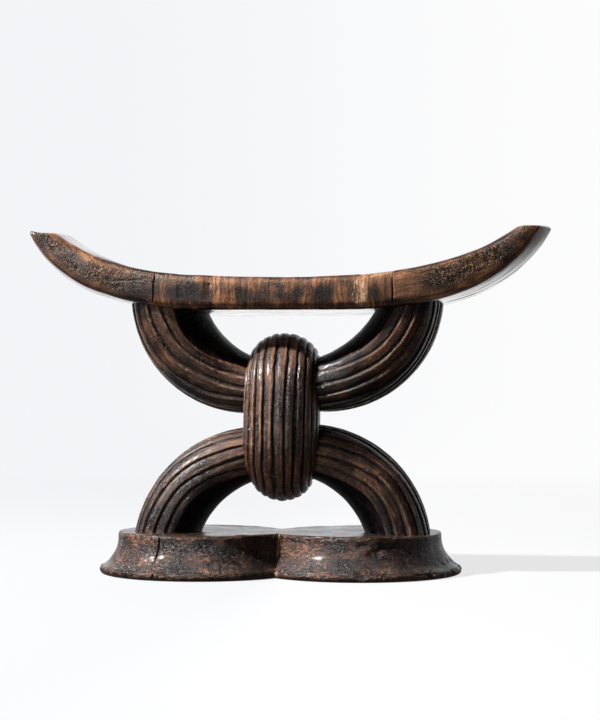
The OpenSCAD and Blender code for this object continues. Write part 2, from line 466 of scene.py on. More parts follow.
def grain_group() -> bpy.types.NodeTree:
    """Figure of the wood at a place in millimetres.

    Returns:
        The group. It gives slow clouds of stain, long streaks, fine fibres, a crackled skin, and
        thin drying lines that are 0 on a line and 1 beside it.
    """
    group, g, given, gives = new_group(
        "wood_figure",
        [("Place", "Vector"), ("Path", "Vector"), ("Streak Stretch", "Vector"),
         ("Line Stretch", "Vector"), ("Line Count", "Float")],
        [(label, "Float") for label in ("Cloud", "Streak", "Fibre", "Crackle", "Line")],
    )
    place, path = given.outputs["Place"], given.outputs["Path"]
    wander = g.noise(place, 0.06, 3.0)
    bent = g.shifted(path, g.stretch(wander.outputs["Color"], (5.0, 5.0, 5.0)))
    drawn = g.stretch(bent, given.outputs["Streak Stretch"])
    cloud = g.noise(place, 0.085, 4.0, 0.62)
    streak = g.noise(drawn, 1.0, 4.0, 0.62)
    fibre = g.noise(drawn, 2.6, 3.0, 0.65)
    crackle = g.noise(place, 1.15, 4.0, 0.7, 0.5)
    lines = g.noise(g.stretch(bent, given.outputs["Line Stretch"]), 1.0, 3.0, 0.6)
    count = given.outputs["Line Count"]
    level = g.maths("FRACT", g.times(lines.outputs["Fac"], count))
    off = g.maths("DIVIDE", g.maths("ABSOLUTE", g.maths("SUBTRACT", level, 0.5)), count)
    g.join(g.between(cloud.outputs["Fac"], 0.34, 0.64), gives.inputs["Cloud"])
    g.join(g.between(streak.outputs["Fac"], 0.34, 0.66), gives.inputs["Streak"])
    g.join(g.between(fibre.outputs["Fac"], 0.34, 0.66), gives.inputs["Fibre"])
    g.join(g.between(crackle.outputs["Fac"], 0.38, 0.62), gives.inputs["Crackle"])
    g.join(g.between(off, 0.006, 0.045), gives.inputs["Line"])
    return group


def pitting_group() -> bpy.types.NodeTree:
    """Small pits and scuffs in rough places: their depth and the pale crumbs left round them."""
    group, g, given, gives = new_group(
        "rough_pitting",
        [("Place", "Vector"), ("Amount", "Float")],
        [("Depth", "Float"), ("Crumbs", "Float")],
    )
    place = given.outputs["Place"]
    bent = g.shifted(place, g.stretch(g.noise(place, 1.4, 2.0).outputs["Color"], (0.9, 0.9, 0.9)))
    cells = g.add("ShaderNodeTexVoronoi", feature="F1")
    g.join(bent, cells.inputs["Vector"])
    cells.inputs["Scale"].default_value = 1.15
    pits = g.between(cells.outputs["Distance"], 0.42, 0.14)
    patchy = g.between(g.noise(place, 0.30, 3.0, 0.6).outputs["Fac"], 0.36, 0.5)
    fine = g.between(g.noise(place, 1.7, 3.0, 0.65).outputs["Fac"], 0.52, 0.62)
    amount = given.outputs["Amount"]
    g.join(g.times(g.times(pits, patchy), amount), gives.inputs["Depth"])
    g.join(g.times(g.times(fine, patchy), amount), gives.inputs["Crumbs"])
    return group


@dataclass(frozen=True)
class WoodFinish:
    """Stained, waxed wood: its colours from deep stain to worn, its shine and its grain."""

    name: str
    deep: Triple
    stain: Triple
    brown: Triple
    worn: Triple
    pale: Triple
    streaks: Triple
    lines: Triple
    line_depth: float
    crackle: float
    roughness: float
    coat: float
    bump: float
    line_count: float = 1.0
    glint: float = 0.38
    shares: Triple = (0.36, 0.34, 0.30)

    def make(self, figure: bpy.types.NodeTree, pitting: bpy.types.NodeTree) -> bpy.types.Material:
        """Builds the material.

        Args:
            figure: the shared group of the wood's figure.
            pitting: the shared group of pits and crumbs.

        Returns:
            The finished material.
        """
        material = bpy.data.materials.new(self.name)
        g = Graph.blank(material)
        place = g.stretch(g.add("ShaderNodeTexCoord").outputs["Object"], (1000.0, 1000.0, 1000.0))
        grain = g.add("ShaderNodeGroup", node_tree=figure)
        g.join(place, grain.inputs["Place"])
        flow = g.add("ShaderNodeAttribute", attribute_name="flow")
        g.join(flow.outputs["Vector"], grain.inputs["Path"])
        g.join(self.streaks, grain.inputs["Streak Stretch"])
        g.join(self.lines, grain.inputs["Line Stretch"])
        g.join(self.line_count, grain.inputs["Line Count"])
        pits = g.add("ShaderNodeGroup", node_tree=pitting)
        g.join(place, pits.inputs["Place"])
        g.join(g.mark("rough"), pits.inputs["Amount"])

        surface = g.add("ShaderNodeBsdfPrincipled")
        g.join(self._colour(g, grain, pits, place), surface.inputs["Base Color"])
        low, high = self.roughness - 0.05, self.roughness + 0.10
        shine = g.between(grain.outputs["Cloud"], 0.0, 1.0, low, high)
        shine = g.plus(shine, g.times(pits.outputs["Depth"], 0.25))
        shine = g.plus(shine, g.times(grain.outputs["Crackle"], -0.08))
        shine = g.maths("SUBTRACT", shine, g.times(g.mark("polish"), self.roughness - 0.14))
        g.join(shine, surface.inputs["Roughness"])
        glint = g.plus(g.between(g.mark("dull"), 0.0, 1.0, self.glint, 0.05),
                        g.times(g.mark("polish"), 0.5))
        g.join(glint, surface.inputs["Specular IOR Level"])
        g.join(g.plus(g.between(g.mark("dull"), 0.0, 0.7, self.coat, 0.0),
                       g.times(g.mark("polish"), 0.85 - self.coat)), surface.inputs["Coat Weight"])
        surface.inputs["Coat Roughness"].default_value = 0.18
        surface.inputs["IOR"].default_value = 1.5
        g.join(self._relief(g, grain, pits), surface.inputs["Normal"])
        out = g.add("ShaderNodeOutputMaterial")
        g.join(surface.outputs["BSDF"], out.inputs["Surface"])
        return material

    def _colour(self, g: Graph, grain: bpy.types.Node, pits: bpy.types.Node,
                place: bpy.types.NodeSocket) -> bpy.types.NodeSocket:
        """Stain and painted shade, figure, worn places and painted light, drying lines, pits, and
        scrapes with painted glints, laid over one another.
        """
        tone = g.plus(g.times(grain.outputs["Streak"], self.shares[0]),
                       g.times(grain.outputs["Cloud"], self.shares[1]))
        tone = g.plus(tone, g.times(grain.outputs["Fibre"], self.shares[2]))
        stops = [(0.26, self.deep), (0.46, self.stain), (0.68, self.brown), (0.94, self.worn)]
        colour = g.ramp(tone, stops)
        # The worn-place mark also carries painted light and painted highlight, and the stain mark
        # below also carries painted shade.
        wear_and_painted_light = g.times(g.mark("wear_and_painted_light"), g.between(grain.outputs["Fibre"], 0.0, 0.8, 0.5, 1.0))
        colour = g.mixed(wear_and_painted_light, colour, self.worn)
        colour = g.mixed(g.times(g.mark("stain_and_shade"), 0.94), colour, self.deep)
        line = g.times(g.maths("SUBTRACT", 1.0, grain.outputs["Line"]), self.line_depth)
        colour = g.mixed(line, colour, self.deep)
        dim = g.times(g.maths("SUBTRACT", 1.0, grain.outputs["Crackle"]), 0.65 * self.crackle)
        colour = g.mixed(dim, colour, self.deep)
        colour = g.mixed(g.times(pits.outputs["Depth"], 0.85), colour, self.deep)
        colour = g.mixed(g.times(pits.outputs["Crumbs"], 0.45), colour, self.pale)
        scratches = g.noise(g.stretch(place, (2.4, 2.4, 0.12)), 1.0, 1.0).outputs["Fac"]
        # The scrape mark also carries painted glints.
        scrape = g.times(g.mark("scrapes_and_glints"), g.between(scratches, 0.47, 0.56, 0.05, 1.0))
        return g.mixed(scrape, colour, self.pale)

    def _relief(self, g: Graph, grain: bpy.types.Node,
                pits: bpy.types.Node) -> bpy.types.NodeSocket:
        """The fine relief of fibres, crackle, drying lines, pits and crumbs, in millimetres."""
        height: object = 0.0
        for socket, depth in (
            (grain.outputs["Fibre"], 0.022), (grain.outputs["Streak"], 0.02),
            (grain.outputs["Crackle"], 0.10 * self.crackle),
            (grain.outputs["Line"], 0.08 * self.line_depth),
            (pits.outputs["Depth"], -0.26), (pits.outputs["Crumbs"], 0.07),
        ):
            height = g.plus(height, g.times(socket, depth))
        bump = g.add("ShaderNodeBump")
        strength = g.between(g.mark("polish"), 0.0, 1.0, self.bump, 0.15 * self.bump)
        g.join(strength, bump.inputs["Strength"])
        bump.inputs["Distance"].default_value = MM
        g.join(height, bump.inputs["Height"])
        return bump.outputs["Normal"]


# ---- The rest --------------------------------------------------------------------------


@dataclass
class HeadRest:
    """The curved rest: its length, how it sweeps up, and how its section is rounded."""

    half: float = 92.5
    middle_depth: float = 46.0
    end_depth: float = 30.0
    thickness: float = 11.5
    sweep: float = 25.0
    kick: float = 6.0
    saddle_rise: float = 25.0
    saddle_spread: float = 0.26
    end_height: float = 30.2
    end_slope: float = 4.0
    end_bow: float = 4.0
    first_split: float = -45.0
    second_split: float = 40.8
    rings: int = 396
    insets: int = 7

    def underside(self, x: Field) -> Field:
        """Height of the underside at a distance from the middle."""
        u = np.abs(x) / self.half
        return REST_UNDERSIDE + self.sweep * u**4 + self.kick * u**12

    def saddle(self, x: Field) -> Field:
        """Height of the saddle at a distance from the middle."""
        u = np.abs(x) / self.half
        rise = self.saddle_spread * u**2 + (1 - self.saddle_spread) * u**4
        return REST_UNDERSIDE + self.thickness + self.saddle_rise * rise

    def cut(self, y: Field) -> Field:
        """Height of the level cut across the ends, which rises towards the back."""
        return REST_UNDERSIDE + self.end_height + math.tan(math.radians(self.end_slope)) * y

    def _section(self) -> tuple[int, Field]:
        """The columns round a section: shares of half depth, thickness and the corner radii."""
        rows: list[tuple[float, ...]] = []
        for kind, count in (("low", 70), ("low_front", 9), ("front", 28), ("top_front", 8),
                            ("top", 62), ("top_back", 8), ("back", 28), ("low_back", 9)):
            for q in (i / count for i in range(count)):
                s, c = math.sin(q * math.pi / 2), math.cos(q * math.pi / 2)
                rows.append({
                    "low": (1 - 2 * q, -(1 - 2 * q), 0, 0, 0, 0),
                    "low_front": (-1, 1 - s, 0, 0, 1 - c, 0),
                    "front": (-1, 0, 0, q, 1 - q, -q),
                    "top_front": (-1, 0, 1 - c, 1, 0, -1 + s),
                    "top": (-1 + 2 * q, 0, 1 - 2 * q, 1, 0, 0),
                    "top_back": (1, 0, -1 + s, 1, 0, -1 + c),
                    "back": (1, 0, 0, 1 - q, q, -1 + q),
                    "low_back": (1, -1 + c, 0, 0, 1 - s, 0),
                }[kind])
        return len(rows), np.array(rows)

    def build(self, finish: bpy.types.Material) -> bpy.types.Object:
        """Carves the rest and dresses it."""
        columns, share = self._section()
        # Rings crowd at the two splits, at the flake and at both ends.
        stations = spread(self.rings, [
            (-0.518, 0.034, 4.0), (0.47, 0.034, 4.0), (-0.28, 0.03, 2.5),
            (-0.97, 0.03, 1.6), (0.97, 0.03, 1.6)])
        carving = Carving.begin(Log("head_rest_carved", columns, self.rings, self.insets))
        sigma = stations[carving.run.astype(int)]
        a = share[carving.turn.astype(int)]
        co, w = self._shape(sigma, a, carving.reach)
        carving.place(co)
        carving.face_outward()
        self._work(carving, co, w)
        out = carving.places()
        carving.place(turned(out, TWIST))
        return carving.done("rest_wood", "head_rest", finish)

    def _shape(self, sigma: Field, a: Field, reach: Field) -> tuple[Field, Field]:
        """The even shape of the rest.

        Args:
            sigma: station along the rest, from -1 to 1.
            a: the section's shares for each vertex.
            reach: 1 on the side, falling to 0 at the middle of an end.

        Returns:
            Places in millimetres, and the share of the thickness at which each one stands.
        """
        s = np.abs(sigma)
        h = (self.middle_depth + (self.end_depth - self.middle_depth) * s**3) / 2
        # The lower corners sharpen towards the ends while the upper ones soften.
        low_r = 2.8 * (1 - 0.75 * s**3)
        top_r = 2.0 + 0.8 * s**3
        y = a[:, 0] * h + a[:, 1] * low_r + a[:, 2] * top_r
        reach_x = np.linspace(0.0, self.half, 1200)
        level = self.cut(y)
        low_end = np.interp(level, self.underside(reach_x), reach_x)
        top_end = np.interp(level, self.saddle(reach_x), reach_x)
        low_x, top_x = s * low_end, s * top_end
        low_z, top_z = self.underside(low_x), self.saddle(top_x)
        t = np.hypot(top_x - low_x, top_z - low_z)
        w = (a[:, 3] * t + a[:, 4] * low_r + a[:, 5] * top_r) / t
        x = low_x + (top_x - low_x) * w
        z = low_z + (top_z - low_z) * w
        flat = np.where(sigma < 0, 0.42, 1.0)
        bow = self.end_bow * s**4 * (1 - flat * (y / h) ** 2) * (1 - w)
        x += bow * (low_x - top_x) / t
        z += bow * (low_z - top_z) / t
        # The front of the underside is pared away a little towards the left end.
        z += 1.1 * ease(-0.35, -0.7, sigma) * ease(-0.55, -1.0, y / h) * (1 - w) ** 3
        y += np.sign(a[:, 0]) * np.where(np.abs(a[:, 0]) == 1, 0.8 * (1 - (2 * w - 1) ** 2), 0)
        # Soften the edge round the level cut, then close it over the inset rings.
        soft = 0.008
        over = np.clip((s - (1 - soft)) / soft, 0, 1)
        shrink = 0.5 * (1 - np.sqrt(1 - np.minimum(over, 0.999) ** 2))
        mid_x, mid_z = (low_x + top_x) / 2, (low_z + top_z) / 2
        sides = (self.underside, self.saddle)
        centre_x = s * sum(np.interp(self.cut(0.0), side(reach_x), reach_x) for side in sides) / 2
        keep_x = 1 - shrink / np.maximum(t / 2, 1)
        keep_y = 1 - shrink / h
        x = centre_x + (mid_x - centre_x) * reach + (x - mid_x) * keep_x * reach
        slope = math.tan(math.radians(self.end_slope))
        z = mid_z + (z - mid_z) * keep_x * reach + slope * y * keep_y * (reach - 1)
        y = y * keep_y * reach
        return np.stack([x * np.sign(sigma + 1e-12), y, z], 1), w

    def _work(self, carving: Carving, co: Field, w: Field) -> None:
        """Leaves the marks of hand and age on the rest, and writes them for the finish.

        Args:
            carving: the rest, still unturned.
            co: places of the even shape.
            w: the share of the thickness at which each one stands.
        """
        x, y, z = co.T
        n = carving.normals()
        face = ease(0.55, 0.9, np.abs(n[:, 1]))
        under = ease(-0.5, -0.9, n[:, 2])
        front = face * (y < 0)
        ends = ease(44, 66, np.abs(x))
        depth = 0.22 * drift(co, 24.0, 3) + 0.12 * drift(co, (9.0, 8.0, 6.0), 4)
        depth += 0.05 * drift(co, (3.2, 3.0, 3.0), 5)
        depth -= 0.5 * spot(x, -22.0, 32.0) * ease(0.5, 0.9, n[:, 2])
        # The ends are pitted along the middle of the front and back faces.
        rough = face * ends * ease(-0.35, 0.25, drift(co, (9.0, 20.0, 5.0), 6) + 0.45)
        rough *= ease(0.18, 0.42, w) * ease(1.0, 0.86, w)
        depth += rough * (0.08 + 0.20 * drift(co, 1.6, 7, 2)) * ease(1.0, 0.85, w)
        # Splits that run down the front face, and one slanting nick.
        waver = self.first_split + 0.12 * np.sin(z * 0.9) + 0.04 * (z - 100)
        first = spot(x, waver, 0.17) * front * ease(95.6, 97.5, z) * ease(108.2, 106.8, z)
        waver = self.second_split + 0.5 * ease(98, 94, z) - 0.12 * np.sin(z * 0.8)
        second = spot(x, waver, 0.2) * front * ease(106, 103, z)
        crack = np.maximum(first, second)
        depth += 0.6 * crack
        # A shallow flake with a nick in it, and a short slot beside it.
        flake = ease(-27.5, -24.0, x) * ease(-22.6, -24.0, x)
        flake *= ease(97, 100, z) * ease(107, 104, z) * front
        depth += 0.35 * flake
        depth += 0.4 * spot(x, -24.3, 0.7) * spot(z, 103.6, 0.8) * front
        slot = spot(x, -35.2, 0.75) * ease(98, 98.8, z) * ease(103.6, 102.8, z) * front
        depth += 0.22 * slot
        # An oval scrape, the chipped edge above it and a hairline at the left.
        scrape = ease(1.15, 0.8, np.hypot((x - 29.0) / 2.8, (z - 100.6) / 5.0)) * front
        depth += scrape * (0.10 + 0.12 * np.sin(x * 7.0))
        edge = spot(w, 0.98, 0.1) * ease(-18.6, -20.8, y) * ease(28, 31, x) * ease(42, 39.5, x)
        depth += edge * (0.25 + 0.35 * drift(co, 2.2, 8, 2))
        hair = spot(z, 105.3 + 0.02 * (x + 55), 0.3) * ease(-63, -60, x) * ease(-48, -51, x) * front
        depth += 0.25 * hair
        carving.pare(depth)
        carving.mark("rough", rough)
        stain_and_shade = 0.98 * crack + 0.75 * slot * ease(-34.6, -35.4, x)
        stain_and_shade += 0.8 * spot(x, -26.6, 0.7) * flake
        # Dark bands stand across the lower half of the faces.
        middle = 5.2 + 1.2 * drift(co, (14.0, 14.0, 30.0), 9)
        smudge = face * spot(z - self.underside(x), middle, 2.6)
        blot = drift(co, (7.0, 40.0, 60.0), 10, 2) + 0.15 * drift(co, (2.0, 40.0, 60.0), 11)
        bands = smudge * ease(-0.25, 0.45, blot) * ease(70, 55, np.abs(x))
        dark = spot(x, 16.5, 4.0) * spot(z, 100.4, 3.0) * front
        # The ends have gone dark along the middle of the face, less so at its rims.
        middle = 0.42 + 0.12 * drift(co, (16.0, 16.0, 40.0), 15)
        aged = face * ease(28, 56, np.abs(x)) * spot(w, middle, 0.40)
        aged *= np.where(x < 0, 1.0, 0.60) + 0.35 * drift(co, (8.0, 20.0, 3.0), 16, 2)
        stripes = under * ease(50, 62, x) * ease(0.15, 0.5, drift(co, (90.0, 2.6, 90.0), 17, 2))
        carving.mark("stain_and_shade", most(stain_and_shade, bands, 0.9 * dark, 0.9 * hair, aged, 0.9 * stripes))
        # Edges, tips and tan patches are worn paler.
        rim = spot(w, 1.0, 0.16) * face + 0.5 * spot(w, 0.0, 0.1) * face
        tips = ease(76, 91, np.abs(x)) * ease(0.35, 0.85, w + 0.4 * drift(co, 6.0, 12))
        tips *= np.where(x < 0, 0.8, 0.5)
        tawny = 0.34 * face * ease(0.0, 0.6, drift(co, (12.0, 30.0, 5.0), 13, 2) + 0.25)
        carving.mark("wear_and_painted_light", most(0.5 * rim, 0.9 * tips, tawny, 0.8 * edge) * (1 - 0.5 * rough))
        pale_edge = edge * ease(0.0, 0.4, drift(co, 1.8, 14, 2))
        fleck = spot(x, -24.0, 0.7) * spot(z, 104.6, 0.6) * front
        carving.mark("scrapes_and_glints", most(scrape * 0.8, pale_edge * 0.7, 0.8 * fleck))
        carving.mark("dull", most(np.clip(1.6 * crack, 0, 1), 0.55 * rough, 0.8 * stripes))
        saddle_ends = ease(0.5, 0.9, n[:, 2]) * ease(60, 75, np.abs(x))
        carving.mark("polish", np.maximum(under * (1 - stripes), saddle_ends))
        # The figure stands upright between the splits and runs lengthwise beyond them.
        upright = (x > self.first_split) & (x < self.second_split)
        rise = z - self.underside(x)
        carving.mark_flow(np.where(upright, x, rise), y, np.where(upright, rise, x))


# ---- The arms --------------------------------------------------------------------------


class Arch(Enum):
    """Which arch an arm belongs to."""

    UPPER = 1
    LOWER = -1


@dataclass
class Arm:
    """Half of a reeded arch: reeded outside and on its flanks, smooth on its inner side."""

    node: str
    arch: Arch
    right: bool
    seed: int
    reach: float
    seat_width: float
    seat_depth: float
    crown: float
    seat_height: float
    width: float = 18.2
    depth: float = 30.0
    gap: float = 4.8
    start: float = 6.0
    reeds: int = 15
    groove: float = 0.9
    reeded_share: float = 0.62
    # worn shifts the arm towards pale wear or dark stain; on the upper right arm it darkens the
    # wood as painted shade.
    worn: float = 0.0
    matte: float = 0.0
    spokes: int = 306
    rings: int = 124
    insets: int = 3
    arch_middle: float = (PLINTH_HEIGHT + REST_UNDERSIDE) / 2 + 0.5

    @staticmethod
    def _circle(crown: tuple[float, float], seat: tuple[float, float]) -> Triple:
        """The circle that is level at the crown and passes through the seat."""
        rise, run = seat[1] - crown[1], seat[0] - crown[0]
        radius = (run * run + rise * rise) / (2 * abs(rise))
        return crown[0], crown[1] + math.copysign(radius, rise), radius

    @staticmethod
    def _round(angle: Field) -> tuple[Field, Field]:
        """Outward and sideways parts of the section: squarish outside, oval inside."""
        c, s = np.cos(angle), np.sin(angle)
        power = np.where(c > 0, 0.68, 1.0)
        return np.sign(c) * np.abs(c) ** power, np.sign(s) * np.abs(s) ** power

    def build(self, finish: bpy.types.Material) -> bpy.types.Object:
        """Carves the arm and dresses it."""
        carving = Carving.begin(Log(f"{self.node}_carved", self.spokes, self.rings, self.insets))
        t = carving.run / (self.rings - 1)
        girth, angle_at = self._girth()
        walk = self._walk(carving.turn, girth)
        side = 1 if self.arch is Arch.UPPER else -1
        outer_crown = self.arch_middle + side * self.gap / 2
        outer = self._circle((self.crown, outer_crown), (self.reach, self.seat_height))
        inner_crown, inner_reach = outer_crown + side * self.width, self.reach - self.seat_width
        inner = self._circle((0.0, inner_crown), (inner_reach, self.seat_height))
        far = self.seat_height + side * 3.0
        angles = []
        for cx, cz, r in (outer, inner):
            angles.append(-side * math.acos((self.start - cx) / r))
            angles.append(math.asin((far - cz) / r))
        angle = np.sign(walk) * np.interp(np.abs(walk), angle_at[0], angle_at[1])
        out, across = self._round(angle)
        deep = (self.depth + (self.seat_depth - self.depth) * t) / 2
        cut, place, on = self._reeds(walk, girth, t)
        shrink = 1 - cut / np.hypot(out * self.width / 2, across * deep)
        shrink *= carving.reach
        share = (1 - out * shrink) / 2
        near = angles[0] * (1 - share) + angles[2] * share
        end = angles[1] * (1 - share) + angles[3] * share
        turn = near * (1 - t) + end * t
        radius = outer[2] * (1 - share) + inner[2] * share
        co = np.stack([
            outer[0] * (1 - share) + inner[0] * share + radius * np.cos(turn),
            across * shrink * deep,
            outer[1] * (1 - share) + inner[1] * share + radius * np.sin(turn),
        ], 1)
        if not self.right:
            co = turned(co, 180.0)
        if self.arch is Arch.UPPER:
            co = turned(co, TWIST)
        else:
            co = co - np.array([KNOT_SHIFT, 0.0, 0.0])
        carving.place(co)
        carving.face_outward()
        self._work(carving, co, walk, t, place, on)
        return carving.done("arm_wood", self.node, finish)

    def _girth(self) -> tuple[float, tuple[Field, Field]]:
        """Half of the way round a section, and the angle passed at each distance."""
        steps = np.linspace(0, math.pi, 721)
        out, across = self._round(steps)
        walked = np.hypot(np.diff(out * self.width / 2), np.diff(across * self.depth / 2))
        run = np.concatenate([[0.0], np.cumsum(walked)])
        return float(run[-1]), (run, steps)

    def _walk(self, turn: Field, girth: float) -> Field:
        """Distance round the section for each column; most columns stand on the reeded part."""
        f = turn / self.spokes * 2 - 1
        share = np.interp(np.abs(f), [0.0, 0.84, 1.0], [0.0, self.reeded_share, 1.0])
        return np.sign(f) * share * girth

    def _reeds(self, walk: Field, girth: float, t: Field) -> tuple[Field, Field, Field]:
        """How deep the wood is cut between the reeds, and the place across each one.

        Each reed is a lap that rises slowly on its outer side and drops sharply on its inner side.

        Args:
            walk: distance round the section from its outer edge.
            girth: half of the way round.
            t: place along the arm, from the band to the seat.

        Returns:
            The depth of the cut in millimetres, the place across each lap from its groove at 0 over
            its crest at 0.75 to its drop at 1, and 1 on the reeded part or 0 on the smooth one.
        """
        reeded = girth * self.reeded_share * (1 + 0.16 * ease(0.75, 0.1, t))
        pitch = 2 * reeded / self.reeds
        side = np.sign(walk)
        here = np.stack([t * 40.0, walk, np.full_like(t, self.seed * 7.0)], 1)
        wobble = 0.22 * drift(here, (24.0, 5.0, 5.0), self.seed)
        wobble = wobble + 0.06 * drift(here, (6.0, 5.0, 5.0), self.seed + 1)
        phase = np.abs(walk) / pitch + 0.5 + wobble * ease(0.3, 1.2, np.abs(walk) / pitch)
        lap = np.floor(phase)
        place = phase - lap
        last = self.reeds / 2 + 0.5
        on = ease(last + 0.05, last - 0.15, phase)
        key = np.stack([lap * 9.7 + side * 3.1, t * 3.0, np.full_like(t, self.seed)], 1)
        crest = 0.74 + 0.14 * drift(key, (4.0, 2.0, 5.0), self.seed + 3)
        rise = 1 - (1 - np.clip(place / crest, 0, 1)) ** 1.7
        drop = ease(1.0, 0.0, np.clip((place - crest) / (1 - crest), 0, 1))
        height = np.where(place < crest, rise, drop)
        strength = self.groove * (0.80 + 0.30 * drift(key, (3.0, 1.2, 5.0), self.seed + 2))
        seam = spot(np.minimum(place, 1 - place), 0.0, 0.07)
        over = np.maximum(phase - last, 0)
        cut = on * strength * (0.78 * (1 - height) + 0.30 * seam)
        cut = cut + 0.8 * self.groove * (1 - on) * np.exp(-over / 1.2)
        low, high = 0.75 * place / crest, 0.75 + 0.25 * (place - crest) / (1 - crest)
        return cut, np.where(place < crest, low, high), on

    def _work(self, carving: Carving, co: Field, walk: Field, t: Field, place: Field,
              on: Field) -> None:
        """Leaves nicks, worn places and painted shade on the arm, and writes them for the finish.

        Args:
            carving: the arm in its place.
            co: places of the even shape.
            walk: distance round the section from its outer edge.
            t: place along the arm, from the band to the seat.
            place: place across each lap.
            on: 1 on the reeded part.
        """
        depth = 0.05 * drift(co, 9.0, self.seed + 20) + 0.05 * drift(co, 2.2, self.seed + 21, 2)
        crest = spot(place, 0.75, 0.065) * on
        nick = ease(0.78, 0.95, drift(co, (1.8, 2.4, 1.8), self.seed + 22)) * crest
        depth += 0.28 * nick
        carving.pare(depth)
        carving.mark_flow(t * 46.0, walk, np.full_like(t, self.seed * 13.0))
        # On the upper right arm a low worn value leaves fewer pale patches, darkening it as painted
        # shade.
        patch = ease(-0.45, 0.55, drift(co, (11.0, 11.0, 11.0), self.seed + 23, 2) + self.worn)
        # Dark patina fills the grooves, while the steep inner side of each lap and the smooth inner
        # side of the arm are painted dark as painted shade.
        seam = spot(np.minimum(place, 1 - place), 0.0, 0.12) * on
        drop = ease(0.80, 0.90, place) * on
        fresh = on * (0.78 - 0.7 * patch)
        carving.mark("stain_and_shade", most(0.95 * seam, 0.9 * drop, 0.92 * (1 - on), fresh))
        line = crest * (0.35 + 0.65 * ease(-0.5, 0.3, drift(co, (5.0, 5.0, 5.0), self.seed + 24)))
        carving.mark("wear_and_painted_light", np.maximum(0.95 * line, 0.28 * patch * on * (1 - seam)))
        carving.mark("rough", 0.35 * on * patch)
        rubbed = 0.5 * line * ease(-0.2, 0.4, drift(co, (7.0, 7.0, 7.0), self.seed + 25))
        carving.mark("scrapes_and_glints", np.maximum(nick * 0.45, rubbed))
        carving.mark("dull", most(0.9 * (1 - on), 0.5 * seam, self.matte * ease(0.1, 0.45, t)))
        carving.mark("polish", np.zeros_like(t))


# ---- The band --------------------------------------------------------------------------


